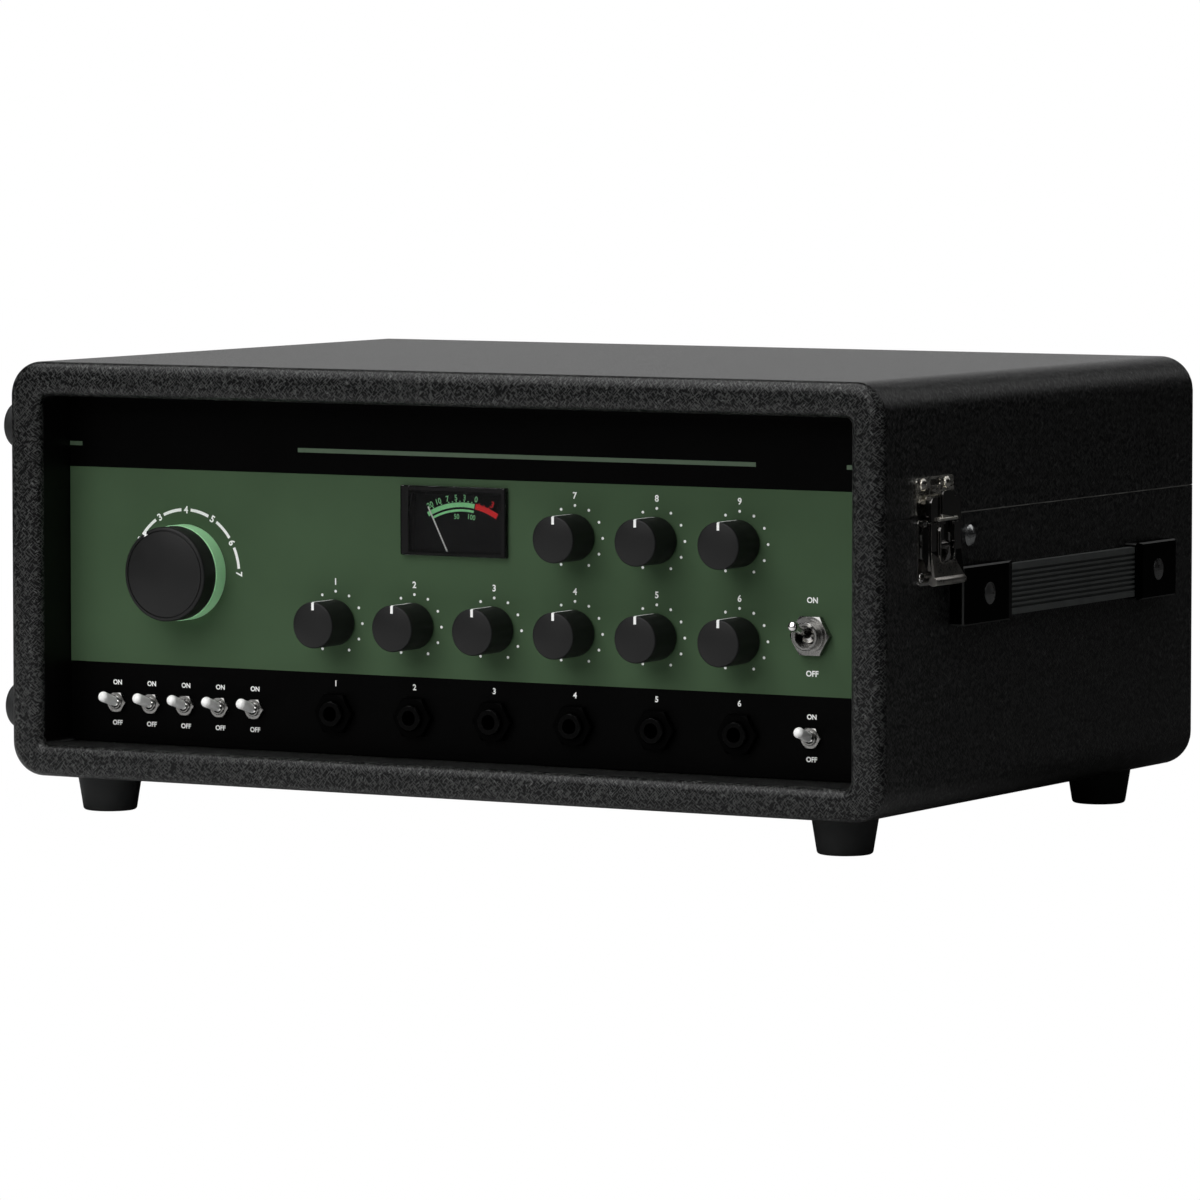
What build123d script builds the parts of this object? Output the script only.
from build123d import *
from math import cos, radians, sin
import os

# Tape echo unit: a covered wooden case whose lid hinges at the back, with a control
# panel recessed in its open front and a tape transport under the lid.
# Millimetres. +X is to the right of the panel, +Y to the back, +Z up. The origin is the
# middle of the unit's footprint, on the surface that the feet stand on.

# ---- driving dimensions -------------------------------------------------------------
CASE_WIDTH = 431.8
OPENING_WIDTH = 402.0  # of the front opening, in which the panel is set
PANEL_SHIFT = 0.9  # of the opening and the panel, to the right of the case's middle
CASE_DEPTH = 305.0
CASE_HEIGHT = 182.0
WALL = 14.0  # the left wall is a little thicker
LID_HEIGHT = 56.9
SEAM_GAP = 0.3
LONG_EDGE_RADIUS = 15.0  # the four edges that run from front to back
BACK_EDGE_RADIUS = 8.0
FRONT_EDGE_RADIUS = 5.0
RIM_LIP_RADIUS = 4.6  # the inner edge of the front rim
RIM_LIP_DEPTH = 12.0
RIM_LIP_RIGHT, RIM_LIP_TOP = 1.7, 0.9  # how far the lip reaches in beyond the walls
INNER_CORNER_RADIUS = 3.0
PANEL_RECESS = 25.0
PANEL_THICKNESS = 2.5
PANEL_GAP = 0.4

FOOT_HEIGHT = 16.0
FOOT_TOP_RADIUS = 14.3
FOOT_BOTTOM_RADIUS = 11.7
FOOT_X = 183.0
FOOT_FROM_FRONT = 29.0
FOOT_FROM_BACK = 34.0
BUMPER_HEIGHT = 10.7
BUMPER_BASE_RADIUS = 11.5
BUMPER_TIP_RADIUS = 10.0
BUMPER_FROM_EDGE = 29.0
BUMPER_FROM_FRONT = 21.0

HINGE_STANDOFF = 4.0  # pin axis behind the back face
HINGE_KNUCKLE_RADIUS = 3.4
HINGE_X = 120.0
HINGE_LENGTH = 50.0
HINGE_LEAF_HEIGHT = 18.0
HINGE_LEAF_START = 2.8  # distance of each leaf from the seam, clear of the knuckles
HINGE_LEAF_THICKNESS = 1.4
HINGE_PIN_RADIUS = 1.5
HINGE_KNUCKLE_GAP = 0.3
HINGE_SCREW_RADIUS = 1.5
HINGE_SCREW_DEPTH = 9.0
LATCH_REACH = 9.0  # how far the latch tab stands off the side

KNOB_RADIUS = 10.0
KNOB_FRONT = 19.0  # distance of the knob's face from the panel
KNOB_BACK = 1.2
KNOB_PITCH = 39.7
KNOB_FIRST_X = -63.5
LOWER_KNOBS_Z = 71.4
UPPER_KNOBS_Z = 112.1
SHAFT_RADIUS = 3.0

MODE_X, MODE_Z = -140.6, 90.5
MODE_RADIUS = 20.6
MODE_FRONT = 16.8
MODE_BACK = 7.6
COLLAR_RADIUS = 20.9

METER_X, METER_Z = -3.3, 117.0
METER_WIDTH, METER_HEIGHT = 52.5, 30.0
METER_PROUD = 2.3
METER_DIAL_DEPTH = 4.8  # dial plate behind the panel's face
METER_PIVOT_X, METER_PIVOT_Z = -2.4, 89.6
NEEDLE_LENGTH = 37.0
NEEDLE_REST = -26.6  # degrees from upright, to the left

SOCKET_ROW_Z = 32.0
JACK_BORE_RADIUS = 3.3
JACK_FRONT = 5.4
TOGGLE_FIRST_X = -176.2
TOGGLE_PITCH = 17.85
LEVEL_TOGGLE_X = 169.3
TOGGLE_TILT = 17.0
POWER_X, POWER_Z = 169.5, 74.8
POWER_TILT = 18.5

DECK_Z = 118.2  # underside of the deck plate, above the case's bottom
DECK_THICKNESS = 2.0
CAPSTAN_X, CAPSTAN_Y = 70.0, 95.0
CAPSTAN_RADIUS = 2.5
FLYWHEEL_RADIUS = 32.0
MOTOR_X, MOTOR_Y = 135.0, 120.0
PULLEY_RADIUS = 6.0
ROLLER_RADIUS = 9.0
TAPE_Y = 92.0  # the straight run past the heads
TAPE_THICKNESS = 0.2
RUNNING_GAP = 0.05  # radial, between a shaft and its bearing
TRANSPORT_GAP = 0.4  # between the tape and what guides it

# ---- the shared frame ---------------------------------------------------------------
CASE_MIDDLE = (BUMPER_HEIGHT - LATCH_REACH) / 2
CASE_X = CASE_MIDDLE + PANEL_SHIFT  # middle of the front panel
FRONT = -(CASE_DEPTH + HINGE_STANDOFF + HINGE_KNUCKLE_RADIUS) / 2
BACK = FRONT + CASE_DEPTH
PANEL = FRONT + PANEL_RECESS  # the panel's face
BOTTOM = FOOT_HEIGHT
TOP = BOTTOM + CASE_HEIGHT
SEAM = TOP - LID_HEIGHT
LEFT = CASE_MIDDLE - CASE_WIDTH / 2
RIGHT = CASE_MIDDLE + CASE_WIDTH / 2
INNER_HALF_WIDTH = OPENING_WIDTH / 2
DECK_TOP = BOTTOM + DECK_Z + DECK_THICKNESS
PANEL_BACK = PANEL + PANEL_THICKNESS
MID_PLANE = Plane.YZ.offset(CASE_MIDDLE)
hinge_y = BACK + HINGE_STANDOFF
hinge_centres = (CASE_MIDDLE - HINGE_X, CASE_MIDDLE + HINGE_X)

knob_spots = [(CASE_X + KNOB_FIRST_X + KNOB_PITCH * column, BOTTOM + LOWER_KNOBS_Z) for column in range(6)]
knob_spots += [(CASE_X + KNOB_FIRST_X + KNOB_PITCH * column, BOTTOM + UPPER_KNOBS_Z) for column in (3, 4, 5)]
jack_spots = [(x, BOTTOM + SOCKET_ROW_Z) for x, z in knob_spots[:6]]
toggle_spots = [(CASE_X + TOGGLE_FIRST_X + TOGGLE_PITCH * i, BOTTOM + SOCKET_ROW_Z) for i in range(5)]
toggle_spots += [(CASE_X + LEVEL_TOGGLE_X, BOTTOM + SOCKET_ROW_Z)]
mode_spot = (CASE_X + MODE_X, BOTTOM + MODE_Z)
power_spot = (CASE_X + POWER_X, BOTTOM + POWER_Z)
meter_spot = (CASE_X + METER_X, BOTTOM + METER_Z)

os.makedirs("parts", exist_ok=True)


def facing(y):
    """Sketch plane at depth y that faces the front: x to the right, y up."""
    return Plane.XZ.offset(-y)


def side(x):
    """Sketch plane at width x that faces right: x to the back, y up."""
    return Plane.YZ.offset(x)


def level(z):
    return Plane.XY.offset(z)


def save(part, name):
    part.label = name
    export_step(part, f"parts/{name}.step")


def hinge_screw_spots(up):
    """Screw positions on the back face: up is +1 on the lid and -1 on the case."""
    return [(x + dx, SEAM + up * 12.5) for x in hinge_centres for dx in (-17, 0, 17)]


SCREW_HEAD_RADIUS = 4.7
SCREW_HEAD_HEIGHT = 1.8
SCREW_SLOT_WIDTH = 1.1
SCREW_SLOT_DEPTH = 0.9


def domed_pin(plane, head_radius, head_height, shank_radius, length):
    """Pin whose domed head sits on the plane's origin and whose shank runs behind it."""
    profile = Plane(origin=plane.origin, x_dir=plane.x_dir, z_dir=-plane.y_dir)
    brim = head_height * 0.25
    chord = head_height - brim
    dome = (head_radius**2 + chord**2) / (2 * chord)
    middle = (head_radius / 2, head_height - dome + (dome**2 - head_radius**2 / 4) ** 0.5)
    with BuildPart() as pin:
        with BuildSketch(profile):
            with BuildLine():
                Polyline((0, -length), (shank_radius, -length), (shank_radius, 0), (head_radius, 0))
                Line((head_radius, 0), (head_radius, brim))
                ThreePointArc((head_radius, brim), middle, (0, head_height))
                Line((0, head_height), (0, -length))
            make_face()
        revolve(axis=Axis(plane.origin, plane.z_dir))
    return pin.part


def domed_screw(plane, head_radius, head_height, shank_radius, length):
    """Slotted screw with a domed head, placed like the domed pin."""
    blank = domed_pin(plane, head_radius, head_height, shank_radius, length)
    with BuildPart() as screw:
        add(blank)
        with BuildSketch(plane.offset(head_height)):
            Rectangle(3 * head_radius, SCREW_SLOT_WIDTH)
        extrude(amount=-SCREW_SLOT_DEPTH, mode=Mode.SUBTRACT)
    return screw.part


# ---- case: one covered box, cut at the seam into the lower case and the lid ----------
with BuildPart() as case_box:
    with BuildSketch(facing(FRONT)):
        with Locations((CASE_MIDDLE, BOTTOM + CASE_HEIGHT / 2)):
            RectangleRounded(CASE_WIDTH, CASE_HEIGHT, LONG_EDGE_RADIUS)
    extrude(amount=-CASE_DEPTH)
    fillet(case_box.edges().group_by(Axis.Y)[-1], BACK_EDGE_RADIUS)
    fillet(case_box.edges().group_by(Axis.Y)[0], FRONT_EDGE_RADIUS)
    with BuildSketch(facing(FRONT)):
        with Locations((CASE_X, BOTTOM + CASE_HEIGHT / 2)):
            RectangleRounded(OPENING_WIDTH, CASE_HEIGHT - 2 * WALL, INNER_CORNER_RADIUS)
    extrude(amount=-(CASE_DEPTH - WALL), mode=Mode.SUBTRACT)
    with BuildSketch(facing(FRONT)):
        with Locations((CASE_X, BOTTOM + CASE_HEIGHT / 2)):
            Rectangle(OPENING_WIDTH + WALL, CASE_HEIGHT - WALL)
        with Locations((CASE_X - RIM_LIP_RIGHT / 2, BOTTOM + (CASE_HEIGHT - RIM_LIP_TOP) / 2)):
            RectangleRounded(
                OPENING_WIDTH - RIM_LIP_RIGHT,
                CASE_HEIGHT - 2 * WALL - RIM_LIP_TOP,
                INNER_CORNER_RADIUS,
                mode=Mode.SUBTRACT,
            )
    extrude(amount=-RIM_LIP_DEPTH)
    front_face = case_box.faces().sort_by(Axis.Y)[0]
    fillet(front_face.inner_wires()[0].edges(), RIM_LIP_RADIUS)

# the window in the back wall, through which the metal rear panel is reached
REAR_WINDOW_WIDTH, REAR_WINDOW_HEIGHT, REAR_WINDOW_Z = 250.0, 60.0, 62.0
# screw holes in the wood: feet from below, handle and chassis from the sides
HANDLE_Z = 90.6
HANDLE_SCREWS_Y = (60.8, 225.4)
CHASSIS_SCREW_Y, CHASSIS_SCREW_Z = 54.0, 114.9
SIDE_SCREW_RADIUS = 2.4
PILOT_GAP = 0.05
foot_rows = (FRONT + FOOT_FROM_FRONT, BACK - FOOT_FROM_BACK)
foot_spots = [(CASE_X + out * FOOT_X, y) for out in (-1, 1) for y in foot_rows]
bumper_rows = (FRONT + BUMPER_FROM_FRONT, BACK - BUMPER_FROM_FRONT - 4)
FOOT_SCREW_RADIUS = 2.0
FOOT_SCREW_DEPTH = 10.0
BUMPER_STEM_RADIUS = 3.0
BUMPER_STEM_LENGTH = 9.0

with BuildPart() as lower_case:
    add(case_box.part)
    split(bisect_by=level(SEAM - SEAM_GAP / 2), keep=Keep.BOTTOM)
    with BuildSketch(facing(BACK)):
        with Locations((CASE_X, BOTTOM + REAR_WINDOW_Z)):
            RectangleRounded(REAR_WINDOW_WIDTH, REAR_WINDOW_HEIGHT, 4)
    extrude(amount=WALL + 1, mode=Mode.SUBTRACT)
    with BuildSketch(level(BOTTOM)):
        with Locations(*foot_spots):
            Circle(FOOT_SCREW_RADIUS + PILOT_GAP)
    extrude(amount=FOOT_SCREW_DEPTH, mode=Mode.SUBTRACT)
    with BuildSketch(side(RIGHT)):
        with Locations(*[(PANEL + y, BOTTOM + HANDLE_Z) for y in HANDLE_SCREWS_Y]):
            Circle(SIDE_SCREW_RADIUS + PILOT_GAP)
    extrude(amount=-WALL + 2, mode=Mode.SUBTRACT)
    with BuildSketch(MID_PLANE):
        with Locations((PANEL + CHASSIS_SCREW_Y, BOTTOM + CHASSIS_SCREW_Z)):
            Circle(SIDE_SCREW_RADIUS + PILOT_GAP)
    extrude(amount=CASE_WIDTH, both=True, mode=Mode.SUBTRACT)
    with BuildSketch(side(LEFT)):
        with Locations(*[(y, BOTTOM + BUMPER_FROM_EDGE) for y in bumper_rows]):
            Circle(BUMPER_STEM_RADIUS + PILOT_GAP)
    extrude(amount=WALL - 3, mode=Mode.SUBTRACT)
    with BuildSketch(facing(BACK)):
        with Locations(*hinge_screw_spots(-1)):
            Circle(HINGE_SCREW_RADIUS + PILOT_GAP)
    extrude(amount=HINGE_SCREW_DEPTH, mode=Mode.SUBTRACT)
save(lower_case.part, "lower_case")

with BuildPart() as lid_shell:
    add(case_box.part)
    split(bisect_by=level(SEAM + SEAM_GAP / 2), keep=Keep.TOP)
    with BuildSketch(side(LEFT)):
        with Locations(*[(y, TOP - BUMPER_FROM_EDGE) for y in bumper_rows]):
            Circle(BUMPER_STEM_RADIUS + PILOT_GAP)
    extrude(amount=WALL - 3, mode=Mode.SUBTRACT)
    with BuildSketch(facing(BACK)):
        with Locations(*hinge_screw_spots(1)):
            Circle(HINGE_SCREW_RADIUS + PILOT_GAP)
    extrude(amount=HINGE_SCREW_DEPTH, mode=Mode.SUBTRACT)
save(lid_shell.part, "lid_shell")

# ---- feet and side bumpers: tapered rubber, the bumpers held by moulded stems ---------
FOOT_RECESS_RADIUS = 5.0
FOOT_RECESS_DEPTH = 6.0
with BuildPart() as feet:
    with Locations(*[Location((x, y, FOOT_HEIGHT / 2)) for x, y in foot_spots]):
        Cone(FOOT_BOTTOM_RADIUS, FOOT_TOP_RADIUS, FOOT_HEIGHT)
    fillet(feet.edges().group_by(Axis.Z)[0], 1.5)
    with Locations(*[Location((x, y, 0), (180, 0, 0)) for x, y in foot_spots]):
        CounterBoreHole(FOOT_SCREW_RADIUS + 0.3, FOOT_RECESS_RADIUS, FOOT_RECESS_DEPTH)
save(feet.part, "feet")


def bumper_pair(z):
    """Two rubber bumpers at height z on the left side, each with its stem in the wood."""
    with BuildPart() as pair:
        for y in bumper_rows:
            with BuildSketch(Plane(origin=(LEFT, y, z), x_dir=(-1, 0, 0), z_dir=(0, -1, 0))):
                with BuildLine():
                    Polyline(
                        (-BUMPER_STEM_LENGTH, 0),
                        (-BUMPER_STEM_LENGTH, BUMPER_STEM_RADIUS),
                        (0, BUMPER_STEM_RADIUS),
                        (0, BUMPER_BASE_RADIUS),
                        (BUMPER_HEIGHT - 3.0, BUMPER_TIP_RADIUS + 0.4),
                    )
                    TangentArc(
                        (BUMPER_HEIGHT - 3.0, BUMPER_TIP_RADIUS + 0.4),
                        (BUMPER_HEIGHT, BUMPER_TIP_RADIUS - 3.0),
                        tangent=(1, -0.15),
                    )
                    Polyline(
                        (BUMPER_HEIGHT, BUMPER_TIP_RADIUS - 3.0),
                        (BUMPER_HEIGHT, 0),
                        (-BUMPER_STEM_LENGTH, 0),
                    )
                make_face()
            revolve(axis=Axis((LEFT, y, z), (1, 0, 0)))
    return pair.part


save(bumper_pair(BOTTOM + BUMPER_FROM_EDGE), "side_bumpers")
save(bumper_pair(TOP - BUMPER_FROM_EDGE), "lid_bumpers")

# ---- carrying handle on the right side ------------------------------------------------
CAP_HEIGHT = 25.0
CAP_THICKNESS = 6.4
CAP_SLOPE_LENGTH = 5.0
CAP_FRONT_Y, CAP_FRONT_LENGTH = 36.3, 47.5
CAP_BACK_Y, CAP_BACK_LENGTH = 205.0, 39.0
STRAP_HEIGHT = 21.6
STRAP_BACK, STRAP_FRONT = 1.0, 4.6  # faces of the strap, measured off the case side
STRAP_RIBS = 8
STRAP_RIB_DEPTH = 1.0
STRAP_GROOVE_WIDTH = 1.2
strap_start = PANEL + CAP_FRONT_Y + 8
strap_end = PANEL + CAP_BACK_Y + CAP_BACK_LENGTH - 8
handle_z = BOTTOM + HANDLE_Z

with BuildPart() as handle_strap:
    with BuildSketch(side(RIGHT + STRAP_BACK)):
        with Locations(((strap_start + strap_end) / 2, handle_z)):
            RectangleRounded(strap_end - strap_start, STRAP_HEIGHT, 2)
    extrude(amount=STRAP_FRONT - STRAP_BACK)
    rib_pitch = STRAP_HEIGHT / (STRAP_RIBS + 2)
    with BuildSketch(Plane(origin=(RIGHT + STRAP_FRONT, 0, handle_z), x_dir=(1, 0, 0), z_dir=(0, -1, 0))):
        with GridLocations(0, rib_pitch, 1, STRAP_RIBS):
            Rectangle(2 * STRAP_RIB_DEPTH, STRAP_GROOVE_WIDTH)
    extrude(amount=CASE_DEPTH, both=True, mode=Mode.SUBTRACT)
    with BuildSketch(side(RIGHT)):
        with Locations(*[(PANEL + y, handle_z) for y in HANDLE_SCREWS_Y]):
            Circle(SIDE_SCREW_RADIUS + 0.3)
    extrude(amount=STRAP_FRONT + 1, mode=Mode.SUBTRACT)
save(handle_strap.part, "handle_strap")

with BuildPart() as handle_caps:
    for start, length in ((CAP_FRONT_Y, CAP_FRONT_LENGTH), (CAP_BACK_Y, CAP_BACK_LENGTH)):
        with BuildSketch(side(RIGHT)):
            with Locations((PANEL + start + length / 2, handle_z)):
                RectangleRounded(length, CAP_HEIGHT, 1.2)
        extrude(amount=CAP_THICKNESS)
    chamfer(handle_caps.faces().group_by(Axis.X)[-1].edges(), 0.7)
    # the outer face slopes down over the last few millimetres beside the strap
    with BuildSketch(Plane.XY):
        for y, towards in ((CAP_FRONT_Y + CAP_FRONT_LENGTH, -1), (CAP_BACK_Y, 1)):
            with BuildLine():
                Polyline(
                    (RIGHT + CAP_THICKNESS, PANEL + y + towards * CAP_SLOPE_LENGTH),
                    (RIGHT + CAP_THICKNESS + 1, PANEL + y + towards * CAP_SLOPE_LENGTH),
                    (RIGHT + CAP_THICKNESS + 1, PANEL + y),
                    (RIGHT + STRAP_FRONT + 0.7, PANEL + y),
                    close=True,
                )
            make_face()
    extrude(amount=TOP, mode=Mode.SUBTRACT)
    # each cap is hollow underneath, and open towards the strap
    with BuildSketch(side(RIGHT)):
        with Locations(((strap_start + strap_end) / 2, handle_z)):
            Rectangle(strap_end - strap_start + 1, STRAP_HEIGHT + 0.8)
    extrude(amount=STRAP_FRONT + 0.2, mode=Mode.SUBTRACT)
    with BuildSketch(side(RIGHT)):
        with Locations(*[(PANEL + y, handle_z) for y in HANDLE_SCREWS_Y]):
            Circle(SIDE_SCREW_RADIUS + 0.3)
    extrude(amount=CAP_THICKNESS + 1, mode=Mode.SUBTRACT)
save(handle_caps.part, "handle_caps")

# ---- case screws: four in the feet, two in the handle, one in each side ---------------
case_screws = []
for x, y in foot_spots:
    under = Plane(origin=(x, y, FOOT_RECESS_DEPTH), x_dir=(1, 0, 0), z_dir=(0, 0, -1))
    case_screws.append(domed_screw(under, 3.8, 1.8, FOOT_SCREW_RADIUS, FOOT_HEIGHT + 3))
for y in HANDLE_SCREWS_Y:
    on_cap = Plane(origin=(RIGHT + CAP_THICKNESS, PANEL + y, handle_z), x_dir=(0, 1, 0), z_dir=(1, 0, 0))
    length = CAP_THICKNESS + WALL - 3
    case_screws.append(domed_screw(on_cap, SCREW_HEAD_RADIUS, 1.2, SIDE_SCREW_RADIUS, length))
for x, out in ((RIGHT, 1), (LEFT, -1)):
    side_screw_point = (x, PANEL + CHASSIS_SCREW_Y, BOTTOM + CHASSIS_SCREW_Z)
    on_side = Plane(origin=side_screw_point, x_dir=(0, 1, 0), z_dir=(out, 0, 0))
    case_screws.append(domed_screw(on_side, SCREW_HEAD_RADIUS, 2.4, SIDE_SCREW_RADIUS, WALL + 6))
save(Compound(children=case_screws), "case_screws")

# ---- hinges: two, at the seam behind the back face -------------------------------------


def hinge_leaves(up, knuckles):
    """One leaf of each hinge, with its screws."""
    with BuildPart() as leaves:
        for x in hinge_centres:
            with BuildSketch(facing(BACK)):
                with Locations((x, SEAM + up * (HINGE_LEAF_START + HINGE_LEAF_HEIGHT / 2))):
                    RectangleRounded(HINGE_LENGTH, HINGE_LEAF_HEIGHT, 2)
            extrude(amount=-HINGE_LEAF_THICKNESS)
            for start, end in knuckles:
                with BuildSketch(side(x + start)):
                    with Locations((hinge_y, SEAM)):
                        Circle(HINGE_KNUCKLE_RADIUS)
                    with Locations((BACK + HINGE_STANDOFF / 2, SEAM + up * 2.5)):
                        Rectangle(HINGE_STANDOFF, 3.0)
                    with Locations((hinge_y, SEAM)):
                        Circle(HINGE_PIN_RADIUS + RUNNING_GAP, mode=Mode.SUBTRACT)
                extrude(amount=end - start)
        with BuildSketch(facing(BACK)):
            with Locations(*hinge_screw_spots(up)):
                Circle(HINGE_SCREW_RADIUS + 0.2)
        extrude(amount=-HINGE_LEAF_THICKNESS, mode=Mode.SUBTRACT)
    screws = [leaves.part]
    for x, z in hinge_screw_spots(up):
        on_leaf = Plane(origin=(x, BACK + HINGE_LEAF_THICKNESS, z), x_dir=(1, 0, 0), z_dir=(0, 1, 0))
        length = HINGE_LEAF_THICKNESS + HINGE_SCREW_DEPTH
        screws.append(domed_screw(on_leaf, 3.0, 1.2, HINGE_SCREW_RADIUS, length))
    return screws


outer_knuckles = ((-HINGE_LENGTH / 2, -9 - HINGE_KNUCKLE_GAP), (9 + HINGE_KNUCKLE_GAP, HINGE_LENGTH / 2))
save(Compound(children=hinge_leaves(1, ((-9, 9),))), "hinge_lid_leaves")
with BuildPart() as hinge_pins:
    for x in hinge_centres:
        with BuildSketch(side(x - HINGE_LENGTH / 2)):
            with Locations((hinge_y, SEAM)):
                Circle(HINGE_PIN_RADIUS)
        extrude(amount=HINGE_LENGTH)
save(Compound(children=hinge_leaves(-1, outer_knuckles) + [hinge_pins.part]), "hinge_case_leaves")

# ---- draw latches: one on each side near the front ------------------------------------
# Drawn on the right side, off = distance from the case side, and mirrored for the left.
LATCH_Y = PANEL + 20.4
LATCH_Z = BOTTOM + 129.0  # the height that the latch is drawn from
LATCH_PLATE_WIDTH = 34.0
LATCH_BASE_WIDTH = 31.0
LATCH_PLATE_THICKNESS = 1.2
LATCH_PIVOT_OFF, LATCH_PIVOT_Z = 3.4, LATCH_Z - 6.8
BAIL_PIVOT_OFF, BAIL_PIVOT_Z = 4.1, LATCH_Z - 15.8
BAIL_BACK, BAIL_FRONT = 3.5, 4.7
LEVER_BACK, LEVER_FRONT = 5.25, 6.35
LEVER_WIDTH = 27.0
LEVER_WINDOW_WIDTH = 12.0
LATCH_PIN_RADIUS = 0.9


def latch_plane(across=0.0):
    """Sketch plane for latch profiles: x is the distance off the case side, y the height over LATCH_Z."""
    return Plane(origin=(RIGHT, LATCH_Y + across, LATCH_Z), x_dir=(1, 0, 0), z_dir=(0, -1, 0))


def rivets(spots, radius, height):
    """Domed rivets in the latch plates, at (y, z) spots on the right side."""
    heads = []
    for y, z in spots:
        on_plate = Plane(origin=(RIGHT + LATCH_PLATE_THICKNESS, y, z), x_dir=(0, 1, 0), z_dir=(1, 0, 0))
        heads.append(domed_pin(on_plate, radius, height, radius / 2, LATCH_PLATE_THICKNESS / 2))
    return heads


keeper_rivets = rivets([(LATCH_Y + dy, LATCH_Z + 9.6) for dy in (-10.8, 10.8)], 2.6, 1.4)
with BuildPart() as latch_keeper:
    with BuildSketch(side(RIGHT)):
        with Locations((LATCH_Y, LATCH_Z + 4.7)):
            RectangleRounded(LATCH_PLATE_WIDTH, 15.8, 2)
        with Locations((LATCH_Y, LATCH_Z + 10.2)):
            RectangleRounded(9.0, 2.4, 0.8, mode=Mode.SUBTRACT)
    extrude(amount=LATCH_PLATE_THICKNESS)
    # the lip that the bail draws down on
    with BuildSketch(latch_plane()):
        with BuildLine():
            Polyline((0.6, 1.4), (3.1, 1.9), (3.1, 4.8), (2.1, 4.8), (2.1, 3.2), (0.6, 3.0), (0.6, 1.4))
        make_face()
    extrude(amount=LATCH_PLATE_WIDTH / 2 - 6, both=True)
    add(keeper_rivets)
with BuildPart() as latch_keepers:
    add(latch_keeper.part)
    mirror(latch_keeper.part, about=MID_PLANE)
save(latch_keepers.part, "latch_keepers")

EAR_WIDTH = 1.2
EAR_Y = 10.0
base_rivets = rivets([(LATCH_Y + dy, LATCH_Z - 29.0) for dy in (-12.4, 12.4)], 2.0, 0.8)
with BuildPart() as latch_base:
    with BuildSketch(side(RIGHT)):
        with Locations((LATCH_Y, LATCH_Z - 18.6)):
            RectangleRounded(LATCH_BASE_WIDTH, 27.6, 2)
    extrude(amount=LATCH_PLATE_THICKNESS)
    for out in (-1, 1):
        with BuildSketch(latch_plane(out * EAR_Y)):
            with BuildLine():
                Polyline((0.6, -6.8), (0.6, -11.8), (4.4, -10.8), (4.7, -6.8), (0.6, -6.8))
            make_face()
            with Locations((LATCH_PIVOT_OFF, LATCH_PIVOT_Z - LATCH_Z)):
                Circle(1.3)
        extrude(amount=EAR_WIDTH / 2, both=True)
        # a pivot pin stands out of each ear
        with BuildSketch(facing(LATCH_Y + out * EAR_Y)):
            with Locations((RIGHT + LATCH_PIVOT_OFF, LATCH_PIVOT_Z)):
                Circle(LATCH_PIN_RADIUS)
        extrude(amount=-out * (LEVER_WIDTH / 2 - EAR_Y))
    add(base_rivets)
with BuildPart() as latch_bases:
    add(latch_base.part)
    mirror(latch_base.part, about=MID_PLANE)
save(latch_bases.part, "latch_bases")

FLANGE_Y = LEVER_WIDTH / 2 - 0.6
LEVER_BEAD_RADIUS = 1.9
with BuildPart() as latch_lever:
    # the front plate flares outwards below its window and ends in a thick finger bead
    with BuildSketch(latch_plane()):
        with BuildLine():
            Polyline(
                (LEVER_BACK, -6.4),
                (LEVER_FRONT, -6.4),
                (LEVER_FRONT, -18.0),
                (LATCH_REACH - 0.9, -30.0),
                (LATCH_REACH - 2.2, -30.4),
                (LEVER_BACK, -18.0),
                (LEVER_BACK, -6.4),
            )
        make_face()
        with Locations((LATCH_REACH - LEVER_BEAD_RADIUS, -30.4)):
            Circle(LEVER_BEAD_RADIUS)
    extrude(amount=LEVER_WIDTH / 2, both=True)
    # a raised rim runs round the window
    with BuildSketch(side(RIGHT + LEVER_BACK + 0.3)):
        with Locations((LATCH_Y, LATCH_Z - 14.9)):
            RectangleRounded(LEVER_WINDOW_WIDTH + 2.4, 17.0, 3.8)
    extrude(amount=1.7)
    with BuildSketch(side(RIGHT + LATCH_PIVOT_OFF)):
        with Locations((LATCH_Y, LATCH_Z - 12.0)):
            RectangleRounded(LEVER_WINDOW_WIDTH, 20.4, 3)
        with Locations((LATCH_Y, LATCH_Z - 6.0)):
            Rectangle(LEVER_WINDOW_WIDTH, 8)
    extrude(amount=LATCH_REACH, mode=Mode.SUBTRACT)
    # side flanges carry the pivot and the bail's pin
    for out in (-1, 1):
        with BuildSketch(latch_plane(out * FLANGE_Y)):
            with BuildLine():
                Polyline((1.8, -7.2), (1.8, -20), (4.6, -26), (6.6, -26), (5.8, -18), (5.8, -7.2), close=True)
            make_face()
            with Locations((LATCH_PIVOT_OFF, LATCH_PIVOT_Z - LATCH_Z)):
                Circle(1.8)
                Circle(LATCH_PIN_RADIUS + RUNNING_GAP, mode=Mode.SUBTRACT)
        extrude(amount=0.58, both=True)
    with BuildSketch(facing(LATCH_Y)):
        with Locations((RIGHT + BAIL_PIVOT_OFF, BAIL_PIVOT_Z)):
            Circle(LATCH_PIN_RADIUS)
    extrude(amount=FLANGE_Y, both=True)
save(latch_lever.part, "latch_lever_right")
with BuildPart() as latch_lever_left:
    mirror(latch_lever.part, about=MID_PLANE)
save(latch_lever_left.part, "latch_lever_left")

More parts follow.
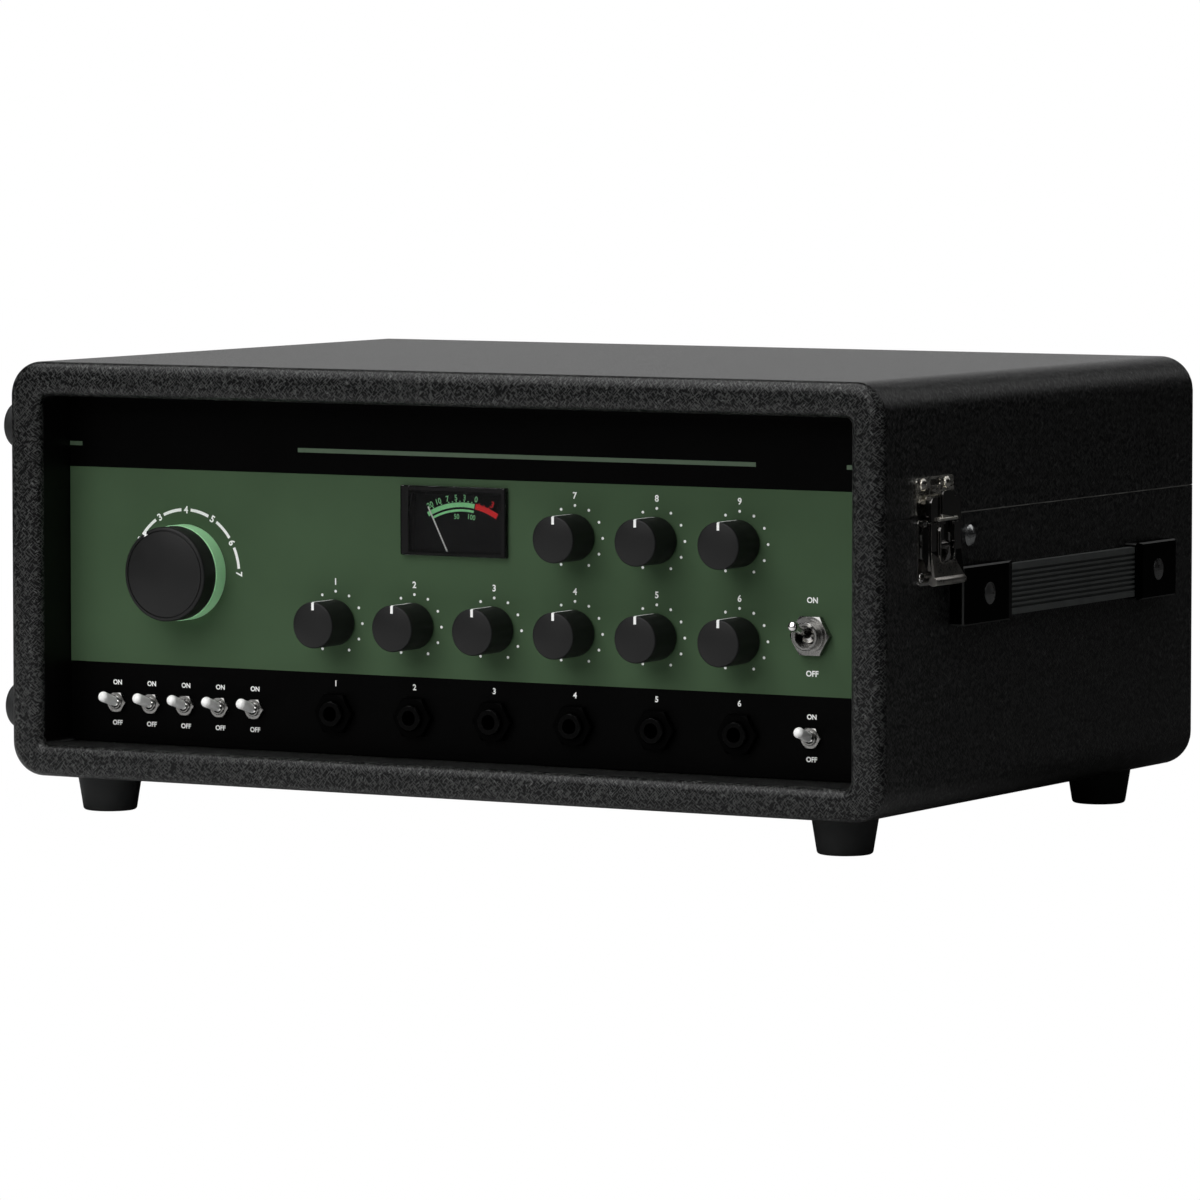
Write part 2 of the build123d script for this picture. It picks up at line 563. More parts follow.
BAIL_NECK_WIDTH = 9.6
TONGUE_WIDTH = 11.0
with BuildPart() as latch_bail:
    # a broad plate over the keeper's lip, flush with the lever below it
    with BuildSketch(side(RIGHT + BAIL_BACK)):
        with Locations((LATCH_Y, LATCH_Z - 0.1)):
            RectangleRounded(LEVER_WIDTH, 9.2, 2.6)
    extrude(amount=LEVER_FRONT - BAIL_BACK)
    with BuildSketch(side(RIGHT + LEVER_BACK)):
        with Locations((LATCH_Y, LATCH_Z - 3.8)):
            Rectangle(LEVER_WIDTH, 4.0)
    extrude(amount=LEVER_FRONT - LEVER_BACK)
    # a tongue lies over its middle and ends at a cross bar
    with BuildSketch(side(RIGHT + LEVER_FRONT - 0.4)):
        with Locations((LATCH_Y, LATCH_Z + 1.2)):
            RectangleRounded(TONGUE_WIDTH, 11.6, 1.8)
    extrude(amount=1.6)
    with BuildSketch(facing(LATCH_Y)):
        with Locations((RIGHT + LEVER_FRONT + 0.6, LATCH_Z - 4.8)):
            Circle(0.8)
    extrude(amount=8.2, both=True)
    # its neck hangs on the lever's pin, inside the window
    with BuildSketch(side(RIGHT + BAIL_BACK)):
        with Locations((LATCH_Y, LATCH_Z - 9.6)):
            Rectangle(BAIL_NECK_WIDTH, 12.4)
    extrude(amount=BAIL_FRONT - BAIL_BACK)
    with BuildSketch(facing(LATCH_Y)):
        with Locations((RIGHT + BAIL_PIVOT_OFF, BAIL_PIVOT_Z)):
            Circle(1.9)
    extrude(amount=BAIL_NECK_WIDTH / 2, both=True)
    with BuildSketch(facing(LATCH_Y)):
        with Locations((RIGHT + BAIL_PIVOT_OFF, BAIL_PIVOT_Z)):
            Circle(LATCH_PIN_RADIUS + RUNNING_GAP)
    extrude(amount=9, both=True, mode=Mode.SUBTRACT)
save(latch_bail.part, "latch_bail_right")
with BuildPart() as latch_bail_left:
    mirror(latch_bail.part, about=MID_PLANE)
save(latch_bail_left.part, "latch_bail_left")

# ---- front panel: a painted plate that carries every control ---------------------------
POT_BUSH_RADIUS = 3.5
TOGGLE_BUSH_RADIUS = 3.1
POWER_BUSH_RADIUS = 5.9
JACK_BUSH_RADIUS = 5.7
with BuildPart() as front_panel:
    panel_height = CASE_HEIGHT - 2 * WALL - 1.0
    with BuildSketch(facing(PANEL)):
        with Locations((CASE_X, BOTTOM + CASE_HEIGHT / 2)):
            RectangleRounded(2 * (INNER_HALF_WIDTH - PANEL_GAP), panel_height, INNER_CORNER_RADIUS)
        with Locations(*knob_spots, mode_spot):
            Circle(POT_BUSH_RADIUS + 0.1, mode=Mode.SUBTRACT)
        with Locations(*toggle_spots):
            Circle(TOGGLE_BUSH_RADIUS + 0.1, mode=Mode.SUBTRACT)
        with Locations(power_spot):
            Circle(POWER_BUSH_RADIUS + 0.1, mode=Mode.SUBTRACT)
        with Locations(*jack_spots):
            Circle(JACK_BUSH_RADIUS + 0.1, mode=Mode.SUBTRACT)
        with Locations(meter_spot):
            Rectangle(METER_WIDTH - 3, METER_HEIGHT - 3, mode=Mode.SUBTRACT)
    extrude(amount=-PANEL_THICKNESS)
save(front_panel.part, "front_panel")

# ---- knobs -------------------------------------------------------------------------------
SHAFT_TIP = 14.0  # shaft end in front of the panel
SHAFT_TAIL = 6.0  # shaft end behind the panel's face
POINTER_WIDTH = 1.4


def knob(x, z):
    """Plain round control knob on its shaft, with a pointer groove at the top."""
    with BuildPart() as cap:
        with BuildSketch(facing(PANEL - KNOB_BACK)):
            with Locations((x, z)):
                Circle(KNOB_RADIUS)
        extrude(amount=KNOB_FRONT - KNOB_BACK)
        fillet(cap.edges().group_by(Axis.Y)[0], 0.7)
        with BuildSketch(facing(PANEL)):
            with Locations((x, z)):
                Circle(POT_BUSH_RADIUS + 2.5)
        extrude(amount=5.0, mode=Mode.SUBTRACT)
        with BuildSketch(facing(PANEL)):
            with Locations((x, z)):
                Circle(SHAFT_RADIUS + 0.02)
        extrude(amount=SHAFT_TIP + 0.2, mode=Mode.SUBTRACT)
        with Locations((x, PANEL - KNOB_FRONT, z + KNOB_RADIUS - 2.0)):
            Box(POINTER_WIDTH, 0.6, 4.0, mode=Mode.SUBTRACT)
        with Locations((x, PANEL - KNOB_FRONT / 2 - 1.5, z + KNOB_RADIUS)):
            Box(POINTER_WIDTH, KNOB_FRONT - 3.0, 0.6, mode=Mode.SUBTRACT)
    with BuildPart() as shaft:
        with BuildSketch(facing(PANEL + SHAFT_TAIL)):
            with Locations((x, z)):
                Circle(SHAFT_RADIUS)
        extrude(amount=SHAFT_TIP + SHAFT_TAIL)
    return Compound(children=[cap.part, shaft.part])


for number, (x, z) in enumerate(knob_spots, start=1):
    row = "lower" if number <= 6 else "upper"
    place = number if number <= 6 else number - 6
    save(knob(x, z), f"knob_{row}_{place}")

mode_x, mode_z = mode_spot
with BuildPart() as mode_cap:
    with BuildSketch(facing(PANEL - MODE_BACK)):
        with Locations(mode_spot):
            Circle(MODE_RADIUS)
    extrude(amount=MODE_FRONT - MODE_BACK)
    fillet(mode_cap.edges().group_by(Axis.Y)[0], 0.8)
    # a fine ring is turned into the face, just inside its edge
    with BuildSketch(facing(PANEL - MODE_FRONT)):
        with Locations(mode_spot):
            Circle(MODE_RADIUS - 1.4)
            Circle(MODE_RADIUS - 2.0, mode=Mode.SUBTRACT)
    extrude(amount=-0.5, mode=Mode.SUBTRACT)
    with BuildSketch(facing(PANEL)):
        with Locations(mode_spot):
            Circle(SHAFT_RADIUS + 0.02)
    extrude(amount=SHAFT_TIP + 0.2, mode=Mode.SUBTRACT)
    # the pointer stands at the third position
    with BuildSketch(facing(PANEL - MODE_FRONT)):
        with Locations(mode_spot):
            with PolarLocations(MODE_RADIUS - 0.4, 1, start_angle=120):
                Rectangle(2.4, 1.3)
    extrude(amount=-0.5, mode=Mode.SUBTRACT)
with BuildPart() as mode_shaft:
    with BuildSketch(facing(PANEL + SHAFT_TAIL)):
        with Locations(mode_spot):
            Circle(SHAFT_RADIUS)
    extrude(amount=SHAFT_TIP + SHAFT_TAIL)
save(Compound(children=[mode_cap.part, mode_shaft.part]), "mode_knob")

with BuildPart() as mode_collar:
    with BuildSketch(facing(PANEL)):
        with Locations(mode_spot):
            Circle(COLLAR_RADIUS)
            Circle(POT_BUSH_RADIUS + 3, mode=Mode.SUBTRACT)
    extrude(amount=MODE_BACK - 0.4)
save(mode_collar.part, "mode_collar")

# ---- rotary controls behind the panel: nine potentiometers and the mode switch -----------
POT_RADIUS = 11.5
POT_DEPTH = 11.0
MODE_SWITCH_RADIUS = 17.0
MODE_SWITCH_DEPTH = 22.0
BUSH_FRONT = 4.5
rotary_controls = []
for x, z in knob_spots + [mode_spot]:
    is_switch = (x, z) == mode_spot
    with BuildPart() as control:
        with BuildSketch(facing(PANEL_BACK)):
            with Locations((x, z)):
                Circle(MODE_SWITCH_RADIUS if is_switch else POT_RADIUS)
        extrude(amount=-(MODE_SWITCH_DEPTH if is_switch else POT_DEPTH))
        with BuildSketch(facing(PANEL_BACK)):
            with Locations((x, z)):
                Circle(POT_BUSH_RADIUS)
        extrude(amount=PANEL_THICKNESS + BUSH_FRONT)
        with BuildSketch(facing(PANEL - BUSH_FRONT)):
            with Locations((x, z)):
                Circle(SHAFT_RADIUS + RUNNING_GAP)
        extrude(amount=-(BUSH_FRONT + SHAFT_TAIL + 0.5), mode=Mode.SUBTRACT)
        with BuildSketch(facing(PANEL_BACK + 6)):
            with Locations((x, z - (MODE_SWITCH_RADIUS if is_switch else POT_RADIUS))):
                Rectangle(12, 6)
        extrude(amount=-1.2)
    rotary_controls.append(control.part)
save(Compound(children=rotary_controls), "rotary_controls")

# ---- jacks: insulated sockets with a threaded bush --------------------------------------
JACK_BODY_DEPTH = 24.0
with BuildPart() as jacks:
    with BuildSketch(facing(PANEL - JACK_FRONT)):
        with Locations(*jack_spots):
            Circle(JACK_BUSH_RADIUS)
    extrude(amount=-(JACK_FRONT + PANEL_THICKNESS))
    with BuildSketch(facing(PANEL_BACK)):
        with Locations(*jack_spots):
            RectangleRounded(18, 19, 1.5)
    extrude(amount=-JACK_BODY_DEPTH)
    chamfer(jacks.edges().filter_by(GeomType.CIRCLE).group_by(Axis.Y)[0], 0.5)
    with BuildSketch(facing(PANEL - JACK_FRONT)):
        with Locations(*jack_spots):
            Circle(JACK_BORE_RADIUS)
    extrude(amount=-(JACK_FRONT + PANEL_THICKNESS + JACK_BODY_DEPTH - 2), mode=Mode.SUBTRACT)
save(jacks.part, "jacks")

# ---- switches ------------------------------------------------------------------------------
TOGGLE_PIVOT = 1.2  # pivot in front of the panel's face
TOGGLE_BUSH_FRONT = 2.6
POWER_PIVOT = 2.0
POWER_BUSH_FRONT = 7.0
toggle_bodies = []
switches = [(spot, TOGGLE_BUSH_RADIUS, TOGGLE_BUSH_FRONT, 2.35, (7, 13, 9)) for spot in toggle_spots]
switches += [(power_spot, POWER_BUSH_RADIUS, POWER_BUSH_FRONT, 4.7, (15, 29, 20))]
for spot, bush_radius, bush_front, mouth_radius, (width, height, depth) in switches:
    with BuildPart() as switch:
        with BuildSketch(facing(PANEL_BACK)):
            with Locations(spot):
                RectangleRounded(width, height, 0.8)
        extrude(amount=-depth)
        with BuildSketch(facing(PANEL_BACK)):
            with Locations(spot):
                Circle(bush_radius)
        extrude(amount=PANEL_THICKNESS + bush_front)
        chamfer(switch.faces().sort_by(Axis.Y)[0].edges(), 0.3)
        with BuildSketch(facing(PANEL - bush_front)):
            with Locations(spot):
                Circle(mouth_radius)
        extrude(amount=-(bush_front + 1.5), mode=Mode.SUBTRACT)
    toggle_bodies.append(switch.part)
save(Compound(children=toggle_bodies), "toggle_bodies")

NUT_GAP = 0.05
POWER_COLLAR_RADIUS = 7.2
POWER_COLLAR_FRONT = 4.4
nut_kinds = [(spot, 8.4, 1.8, TOGGLE_BUSH_RADIUS) for spot in toggle_spots]
nut_kinds += [(power_spot, 16.2, 3.2, POWER_BUSH_RADIUS)]
nut_kinds += [(spot, 16.4, 3.2, JACK_BUSH_RADIUS) for spot in jack_spots]
panel_nuts = []
for spot, across_flats, thickness, hole in nut_kinds:
    with BuildPart() as nut:
        with BuildSketch(facing(PANEL)):
            with Locations(spot):
                RegularPolygon(across_flats / 2, 6, major_radius=False)
        extrude(amount=thickness)
        # the front corners are turned off to a cone
        with BuildSketch(facing(PANEL - thickness)):
            with Locations(spot):
                Circle(across_flats / 2 * 1.02)
        extrude(amount=-thickness, taper=-60, mode=Mode.INTERSECT)
        if spot == power_spot:
            with BuildSketch(facing(PANEL)):
                with Locations(spot):
                    Circle(POWER_COLLAR_RADIUS)
            extrude(amount=POWER_COLLAR_FRONT)
        with BuildSketch(facing(PANEL)):
            with Locations(spot):
                Circle(hole + NUT_GAP)
        extrude(amount=thickness + POWER_COLLAR_FRONT, mode=Mode.SUBTRACT)
    panel_nuts.append(nut.part)
save(Compound(children=panel_nuts), "panel_nuts")


def toggle_lever(spot, pivot, tilt, outline):
    """Lever turned from an outline of (distance from the pivot, radius), tilted up."""
    x, z = spot
    pivot_point = (x, PANEL - pivot, z)
    along = (0, -cos(radians(tilt)), sin(radians(tilt)))
    upright = (0, sin(radians(tilt)), cos(radians(tilt)))
    with BuildPart() as lever:
        with BuildSketch(Plane(origin=pivot_point, x_dir=along, z_dir=upright)):
            with BuildLine():
                Polyline((outline[0][0], 0), *outline, (outline[-1][0], 0), close=True)
            make_face()
        revolve(axis=Axis(pivot_point, along))
        tip = lever.edges().filter_by(GeomType.CIRCLE).sort_by(Axis(pivot_point, along))[-1]
        fillet(tip, outline[-1][1] * 0.8)
    return lever.part


toggle_outline = [(-1.4, 1.2), (-0.9, 1.9), (0.9, 1.9), (1.4, 1.0), (2.5, 1.0), (2.8, 2.1), (12.6, 2.35)]
for number, spot in enumerate(toggle_spots, start=1):
    save(toggle_lever(spot, TOGGLE_PIVOT, TOGGLE_TILT, toggle_outline), f"toggle_lever_{number}")
power_outline = [(-2.0, 2.5), (-1.2, 3.3), (1.2, 3.3), (2.6, 1.9), (14.0, 1.5), (15.0, 2.3), (17.8, 2.5)]
save(toggle_lever(power_spot, POWER_PIVOT, POWER_TILT, power_outline), "power_lever")

# ---- level meter ---------------------------------------------------------------------------
METER_WALL = 1.5
METER_DEPTH = 22.0
METER_BOX_DROP = 17.0  # the movement hangs below the window, behind the panel
meter_x, meter_z = meter_spot
pivot_x, pivot_z = CASE_X + METER_PIVOT_X, BOTTOM + METER_PIVOT_Z
box_width = METER_WIDTH - 4
box_low = meter_z - METER_HEIGHT / 2 - METER_BOX_DROP
box_high = meter_z + METER_HEIGHT / 2 - 2
with BuildPart() as meter_housing:
    with BuildSketch(facing(PANEL_BACK)):
        with Locations((meter_x, (box_low + box_high) / 2)):
            Rectangle(box_width, box_high - box_low)
    extrude(amount=-METER_DEPTH)
    with BuildSketch(facing(PANEL_BACK)):
        with Locations((meter_x, (box_low + box_high) / 2)):
            Rectangle(box_width - 2 * METER_WALL, box_high - box_low - 2 * METER_WALL)
    extrude(amount=-(METER_DEPTH - METER_WALL), mode=Mode.SUBTRACT)
    with BuildSketch(facing(PANEL + METER_DIAL_DEPTH + 1.2)):
        with Locations((pivot_x, pivot_z)):
            Circle(6.5)
    extrude(amount=-(METER_DEPTH - METER_DIAL_DEPTH))
    with BuildSketch(facing(PANEL)):
        with Locations((pivot_x, pivot_z)):
            Circle(1.05)
    extrude(amount=-(METER_DIAL_DEPTH + 7), mode=Mode.SUBTRACT)
save(meter_housing.part, "meter_housing")

with BuildPart() as meter_dial:
    with BuildSketch(facing(PANEL + METER_DIAL_DEPTH)):
        with Locations((meter_x, (box_low + box_high) / 2)):
            Rectangle(box_width - 2 * METER_WALL - 0.4, box_high - box_low - 2 * METER_WALL - 0.4)
        with Locations((pivot_x, pivot_z)):
            Circle(2.5, mode=Mode.SUBTRACT)
    extrude(amount=-0.8)
save(meter_dial.part, "meter_dial")

with BuildPart() as meter_lens:
    with BuildSketch(facing(PANEL)):
        with Locations(meter_spot):
            RectangleRounded(METER_WIDTH, METER_HEIGHT, 0.8)
    extrude(amount=METER_PROUD)
    fillet(meter_lens.faces().sort_by(Axis.Y)[0].edges(), 0.4)
    with BuildSketch(facing(PANEL)):
        with Locations(meter_spot):
            Rectangle(METER_WIDTH - 4, METER_HEIGHT - 4)
    extrude(amount=METER_PROUD - 1.0, mode=Mode.SUBTRACT)
save(meter_lens.part, "meter_lens")

needle_angle = radians(90 - NEEDLE_REST)
needle_tip = (pivot_x + NEEDLE_LENGTH * cos(needle_angle), pivot_z + NEEDLE_LENGTH * sin(needle_angle))
with BuildPart() as meter_needle:
    with BuildSketch(facing(PANEL + METER_DIAL_DEPTH - 1.2)):
        with Locations((pivot_x, pivot_z)):
            Circle(2.2)
        with BuildLine():
            Line((pivot_x, pivot_z), needle_tip)
        trace(line_width=0.5)
    extrude(amount=-0.4)
    with BuildSketch(facing(PANEL + METER_DIAL_DEPTH - 1.2)):
        with Locations((pivot_x, pivot_z)):
            Circle(1.0)
    extrude(amount=-7.0)
save(meter_needle.part, "meter_needle")

# ---- chassis: a folded steel tray screwed between the case sides -------------------------
SHEET = 1.5
TRAY_SIDE = INNER_HALF_WIDTH - 1.0
TRAY_FRONT = PANEL_BACK + 0.5
TRAY_BACK = BACK - WALL - 4.0
TRAY_Z = BOTTOM + WALL + 0.3
BOARD_Z = TRAY_Z + SHEET + 6.0
TRAY_TOP = BOTTOM + DECK_Z
tray_length = TRAY_BACK - TRAY_FRONT
tray_y = (TRAY_FRONT + TRAY_BACK) / 2
board_posts = [(CASE_X + dx, PANEL + dy) for dx in (-95, 185) for dy in (48, 212)]
with BuildPart() as chassis:
    with BuildSketch(level(TRAY_Z)):
        with Locations((CASE_X, tray_y)):
            Rectangle(2 * TRAY_SIDE, tray_length)
    extrude(amount=SHEET)
    for out in (-1, 1):
        with BuildSketch(level(TRAY_Z)):
            with Locations((CASE_X + out * (TRAY_SIDE - SHEET / 2), tray_y)):
                Rectangle(SHEET, tray_length)
        extrude(amount=TRAY_TOP - TRAY_Z)
        with BuildSketch(level(TRAY_TOP)):
            with Locations((CASE_X + out * (TRAY_SIDE - 6), tray_y + 16)):
                Rectangle(12, tray_length - 32)
        extrude(amount=-SHEET)
    fillet(chassis.edges().filter_by(Axis.Y).group_by(Axis.Z)[0], 3.5)
    with BuildSketch(level(TRAY_Z + SHEET)):
        with Locations(*board_posts):
            Circle(3)
    extrude(amount=BOARD_Z - TRAY_Z - SHEET)
    with BuildSketch(MID_PLANE):
        with Locations((PANEL + CHASSIS_SCREW_Y, BOTTOM + CHASSIS_SCREW_Z)):
            Circle(SIDE_SCREW_RADIUS + PILOT_GAP)
    extrude(amount=CASE_WIDTH, both=True, mode=Mode.SUBTRACT)
save(chassis.part, "chassis")

with BuildPart() as main_board:
    with BuildSketch(level(BOARD_Z)):
        with Locations((CASE_X + 45, PANEL + 130)):
            Rectangle(295, 178)
    extrude(amount=1.6)
    with BuildSketch(level(BOARD_Z + 1.6)):
        with Locations((CASE_X + 30, PANEL + 130)):
            with GridLocations(36, 34, 7, 4):
                Rectangle(19, 6.5)
    extrude(amount=4)
    with BuildSketch(level(BOARD_Z + 1.6)):
        with Locations((CASE_X + 48, PANEL + 130)):
            with GridLocations(36, 34, 7, 4):
                Circle(4)
    extrude(amount=11)
save(main_board.part, "main_board")

with BuildPart() as power_transformer:
    with Locations((CASE_X - 150, PANEL + 195, TRAY_Z + SHEET + 28)):
        Box(58, 66, 56)
        Box(40, 88, 44)
save(power_transformer.part, "power_transformer")

# ---- rear panel and mains inlet ------------------------------------------------------------
INLET_X = CASE_X + 88.0
INLET_Z = BOTTOM + REAR_WINDOW_Z
REAR_PLATE_Y = BACK - WALL - SHEET
INLET_DEPTH = 16.0
with BuildPart() as rear_panel:
    with BuildSketch(facing(REAR_PLATE_Y)):
        with Locations((CASE_X, INLET_Z)):
            Rectangle(REAR_WINDOW_WIDTH + 20, REAR_WINDOW_HEIGHT + 16)
        with Locations((INLET_X, INLET_Z)):
            Rectangle(27.4, 20.4, mode=Mode.SUBTRACT)
    extrude(amount=-SHEET)
save(rear_panel.part, "rear_panel")

with BuildPart() as inlet_body:
    with BuildSketch(facing(BACK - WALL)):
        with Locations((INLET_X, INLET_Z)):
            RectangleRounded(50, 25, 3)
        with Locations((INLET_X - 20, INLET_Z), (INLET_X + 20, INLET_Z)):
            Circle(1.7, mode=Mode.SUBTRACT)
    extrude(amount=-2)
    with BuildSketch(facing(BACK - WALL)):
        with Locations((INLET_X, INLET_Z)):
            RectangleRounded(27, 20, 2)
    extrude(amount=INLET_DEPTH + 2)
    with BuildSketch(facing(BACK - WALL + 2)):
        with Locations((INLET_X, INLET_Z)):
            RectangleRounded(24.5, 17, 3)
    extrude(amount=INLET_DEPTH, mode=Mode.SUBTRACT)
with BuildPart() as inlet_pins:
    with BuildSketch(facing(BACK - WALL + 2 - INLET_DEPTH)):
        with Locations((INLET_X - 7, INLET_Z - 2), (INLET_X + 7, INLET_Z - 2), (INLET_X, INLET_Z + 2)):
            Rectangle(2, 4)
    extrude(amount=-(INLET_DEPTH - 6))
save(Compound(children=[inlet_body.part, inlet_pins.part]), "mains_inlet")

# ---- deck plate and tape transport ----------------------------------------------------------
DECK_FRONT = PANEL + 34.0
DECK_BACK = TRAY_BACK
capstan_spot = (CASE_X + CAPSTAN_X, PANEL + CAPSTAN_Y)
motor_spot = (CASE_X + MOTOR_X, PANEL + MOTOR_Y)
BEARING_RADIUS = 9.0
with BuildPart() as deck_plate:
    with BuildSketch(level(BOTTOM + DECK_Z)):
        with Locations((CASE_X, (DECK_FRONT + DECK_BACK) / 2)):
            RectangleRounded(2 * TRAY_SIDE - 2, DECK_BACK - DECK_FRONT, 3)
        with Locations(capstan_spot):
            Circle(BEARING_RADIUS + 0.05, mode=Mode.SUBTRACT)
    extrude(amount=DECK_THICKNESS)
save(deck_plate.part, "deck_plate")

FLYWHEEL_TOP = BOTTOM + DECK_Z - 7.0
FLYWHEEL_THICKNESS = 9.0
CAPSTAN_TOP = DECK_TOP + 21.0
with BuildPart() as capstan_bearing:
    with BuildSketch(level(FLYWHEEL_TOP + 0.5)):
        with Locations(capstan_spot):
            Circle(BEARING_RADIUS)
    extrude(amount=DECK_TOP - FLYWHEEL_TOP - 0.5)
    with BuildSketch(level(DECK_TOP)):
        with Locations(capstan_spot):
            Circle(BEARING_RADIUS + 2)
    extrude(amount=1.0)
    with BuildSketch(level(FLYWHEEL_TOP)):
        with Locations(capstan_spot):
            Circle(CAPSTAN_RADIUS + RUNNING_GAP)
    extrude(amount=DECK_TOP + 3 - FLYWHEEL_TOP, mode=Mode.SUBTRACT)
save(capstan_bearing.part, "capstan_bearing")

with BuildPart() as capstan_flywheel:
    with BuildSketch(level(FLYWHEEL_TOP)):
        with Locations(capstan_spot):
            Circle(FLYWHEEL_RADIUS)
    extrude(amount=-FLYWHEEL_THICKNESS)
    chamfer(capstan_flywheel.edges(), 0.6)
    with BuildSketch(level(FLYWHEEL_TOP - FLYWHEEL_THICKNESS)):
        with Locations(capstan_spot):
            with PolarLocations(FLYWHEEL_RADIUS * 0.62, 4):
                Circle(5)
    extrude(amount=FLYWHEEL_THICKNESS, mode=Mode.SUBTRACT)
    with BuildSketch(level(FLYWHEEL_TOP - FLYWHEEL_THICKNESS)):
        with Locations(capstan_spot):
            Circle(CAPSTAN_RADIUS)
    extrude(amount=CAPSTAN_TOP - FLYWHEEL_TOP + FLYWHEEL_THICKNESS)
save(capstan_flywheel.part, "capstan_flywheel")

MOTOR_RADIUS = 24.0
MOTOR_HEIGHT = 48.0
MOTOR_TOP = FLYWHEEL_TOP - FLYWHEEL_THICKNESS - 3.0
with BuildPart() as motor:
    with BuildSketch(level(MOTOR_TOP)):
        with Locations(motor_spot):
            Circle(MOTOR_RADIUS)
    extrude(amount=-MOTOR_HEIGHT)
    chamfer(motor.edges().group_by(Axis.Z)[0], 1.5)
    # three posts hang the motor from the deck, clear of the belt
    with BuildSketch(level(MOTOR_TOP)):
        with Locations(motor_spot):
            with PolarLocations(MOTOR_RADIUS - 4, 3, start_angle=20):
                Circle(3)
    extrude(amount=BOTTOM + DECK_Z - MOTOR_TOP)
    with BuildSketch(level(MOTOR_TOP)):
        with Locations(motor_spot):
            Circle(2 + RUNNING_GAP)
    extrude(amount=-10, mode=Mode.SUBTRACT)
save(motor.part, "motor")

BELT_HEIGHT = 5.0
BELT_THICKNESS = 1.0
BELT_GAP = 0.3
belt_z = FLYWHEEL_TOP - FLYWHEEL_THICKNESS / 2
with BuildPart() as motor_pulley:
    with BuildSketch(level(MOTOR_TOP + 0.8)):
        with Locations(motor_spot):
            Circle(PULLEY_RADIUS)
    extrude(amount=FLYWHEEL_TOP - MOTOR_TOP - 0.8)
    with BuildSketch(level(MOTOR_TOP - 9.5)):
        with Locations(motor_spot):
            Circle(2)
    extrude(amount=FLYWHEEL_TOP - MOTOR_TOP + 12)
    with BuildSketch(level(FLYWHEEL_TOP)):
        with Locations(motor_spot):
            Circle(PULLEY_RADIUS + 2)
    extrude(amount=1.2)
save(motor_pulley.part, "motor_pulley")


def belt_loop(extra):
    with BuildSketch(level(belt_z)) as loop:
        with BuildLine():
            CenterArc(capstan_spot, FLYWHEEL_RADIUS + extra, 0, 360)
            CenterArc(motor_spot, PULLEY_RADIUS + extra, 0, 360)
        make_hull()
    return loop.sketch


with BuildPart() as drive_belt:
    extrude(belt_loop(BELT_GAP + BELT_THICKNESS), amount=BELT_HEIGHT / 2, both=True)
    extrude(belt_loop(BELT_GAP), amount=BELT_HEIGHT, both=True, mode=Mode.SUBTRACT)
save(drive_belt.part, "drive_belt")

TAPE_WIDTH = 6.35
TAPE_LOW = DECK_TOP + 7.0
TAPE_LEFT, TAPE_RIGHT, TAPE_BACK = -160.0, 112.0, 216.0
GUIDE_RADIUS = 9.0
loop_width = TAPE_RIGHT - TAPE_LEFT
loop_depth = TAPE_BACK - TAPE_Y
loop_centre = (CASE_X + (TAPE_LEFT + TAPE_RIGHT) / 2, PANEL + (TAPE_Y + TAPE_BACK) / 2)
with BuildPart() as tape_loop:
    with BuildSketch(level(TAPE_LOW)):
        with Locations(loop_centre):
            RectangleRounded(loop_width, loop_depth, GUIDE_RADIUS + TRANSPORT_GAP + TAPE_THICKNESS)
            RectangleRounded(
                loop_width - 2 * TAPE_THICKNESS,
                loop_depth - 2 * TAPE_THICKNESS,
                GUIDE_RADIUS + TRANSPORT_GAP,
                mode=Mode.SUBTRACT,
            )
    extrude(amount=TAPE_WIDTH)
save(tape_loop.part, "tape_loop")

ROLLER_Y = TAPE_Y - TRANSPORT_GAP - ROLLER_RADIUS
ARM_LENGTH = 32.0
roller_spot = (CASE_X + CAPSTAN_X, PANEL + ROLLER_Y)
arm_spot = (CASE_X + CAPSTAN_X - ARM_LENGTH, PANEL + ROLLER_Y - 4)
guide_inset = GUIDE_RADIUS + TRANSPORT_GAP + TAPE_THICKNESS
with BuildPart() as tape_guides:
    with BuildSketch(level(DECK_TOP)):
        with Locations(loop_centre):
            with GridLocations(loop_width - 2 * guide_inset, loop_depth - 2 * guide_inset, 2, 2):
                Circle(GUIDE_RADIUS)
    extrude(amount=16)
    with BuildSketch(level(DECK_TOP)):
        with Locations(arm_spot):
            Circle(2.5)
    extrude(amount=8)
save(tape_guides.part, "tape_guides")

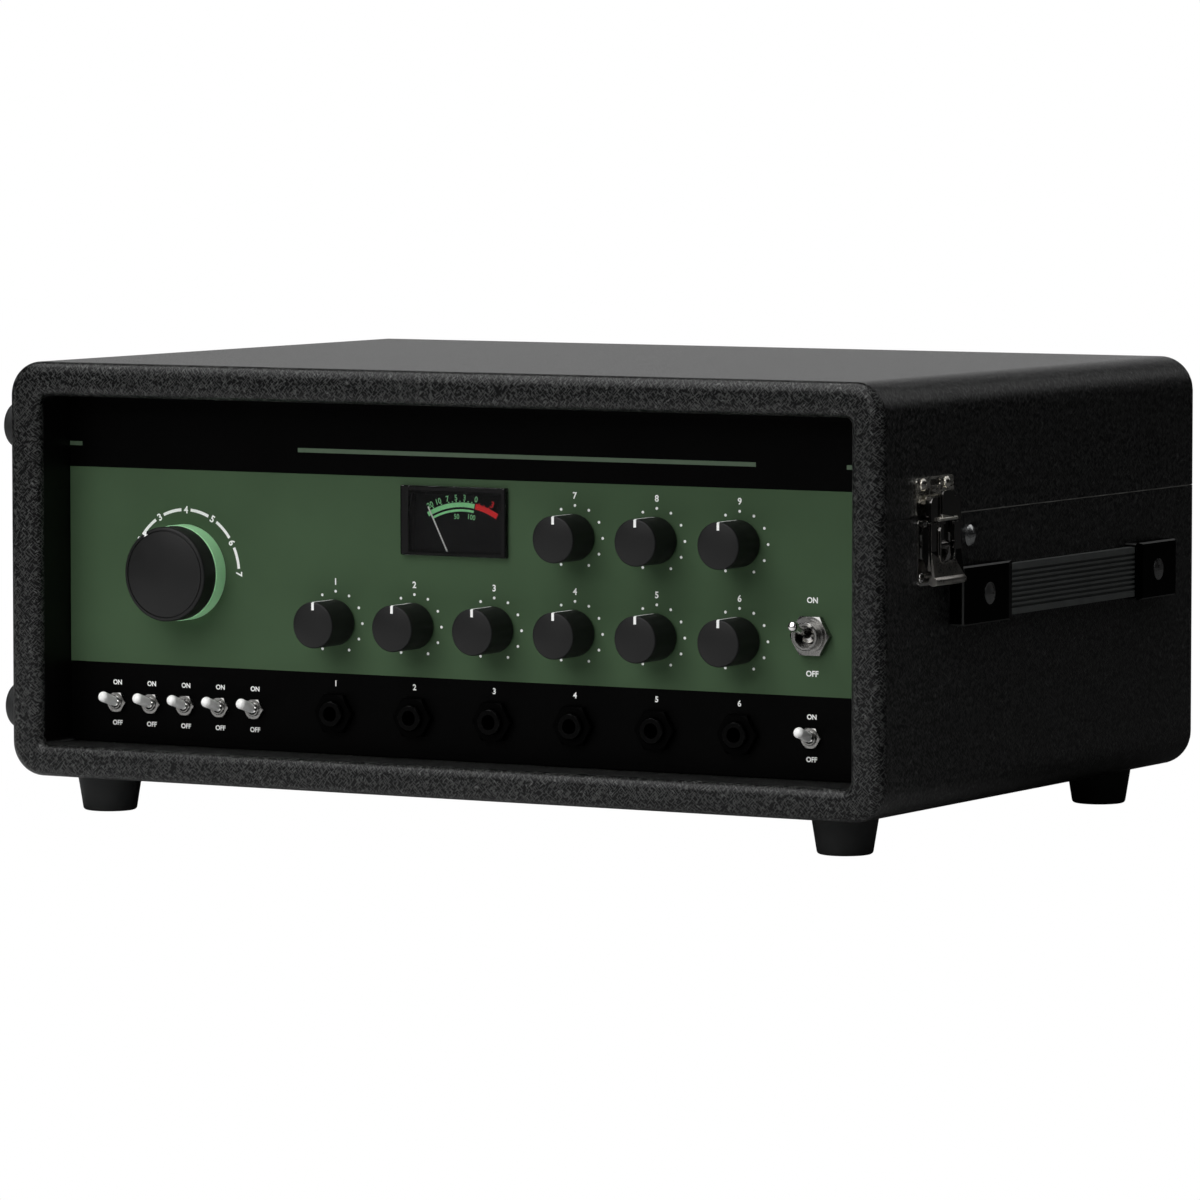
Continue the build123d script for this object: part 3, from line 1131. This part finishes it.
with BuildPart() as tape_heads:
    for x in (-125, -95, -60, -32, -4):
        with BuildSketch(level(DECK_TOP)):
            with Locations((CASE_X + x, PANEL + TAPE_Y - 15.5)):
                Rectangle(16, 22)
        extrude(amount=2.5)
        with BuildSketch(level(DECK_TOP + 2.5)):
            with Locations((CASE_X + x, PANEL + TAPE_Y - TRANSPORT_GAP - 6.5)):
                Rectangle(13, 13)
        extrude(amount=14)
    fillet(tape_heads.edges().filter_by(Axis.Z).group_by(Axis.Y)[-1], 3)
save(tape_heads.part, "tape_heads")

with BuildPart() as pinch_arm:
    with BuildSketch(level(DECK_TOP + 1.6)):
        with BuildLine():
            CenterArc(arm_spot, 6, 0, 360)
            CenterArc(roller_spot, 5, 0, 360)
        make_hull()
    extrude(amount=2.4)
    with BuildSketch(level(DECK_TOP + 1.6)):
        with Locations(arm_spot):
            Circle(5)
    extrude(amount=5.6)
    with BuildSketch(level(DECK_TOP)):
        with Locations(arm_spot):
            Circle(2.5 + RUNNING_GAP)
    extrude(amount=10, mode=Mode.SUBTRACT)
    with BuildSketch(level(DECK_TOP + 1.6)):
        with Locations(roller_spot):
            Circle(2)
    extrude(amount=18)
save(pinch_arm.part, "pinch_arm")

with BuildPart() as pinch_roller:
    with BuildSketch(level(DECK_TOP + 4.4)):
        with Locations(roller_spot):
            Circle(ROLLER_RADIUS)
            Circle(2 + RUNNING_GAP, mode=Mode.SUBTRACT)
    extrude(amount=13)
save(pinch_roller.part, "pinch_roller")

WINDOW_Z = DECK_TOP + 19.0
with BuildPart() as tape_window:
    with BuildSketch(level(WINDOW_Z)):
        with Locations((loop_centre[0] - 22, loop_centre[1] + 8)):
            RectangleRounded(loop_width - 54, loop_depth + 4, 4)
    extrude(amount=2.5)
    with BuildSketch(level(DECK_TOP)):
        with Locations((loop_centre[0] - 22, loop_centre[1] + 8)):
            with GridLocations(loop_width - 104, loop_depth - 40, 2, 2):
                Circle(4)
    extrude(amount=WINDOW_Z - DECK_TOP)
save(tape_window.part, "tape_window")
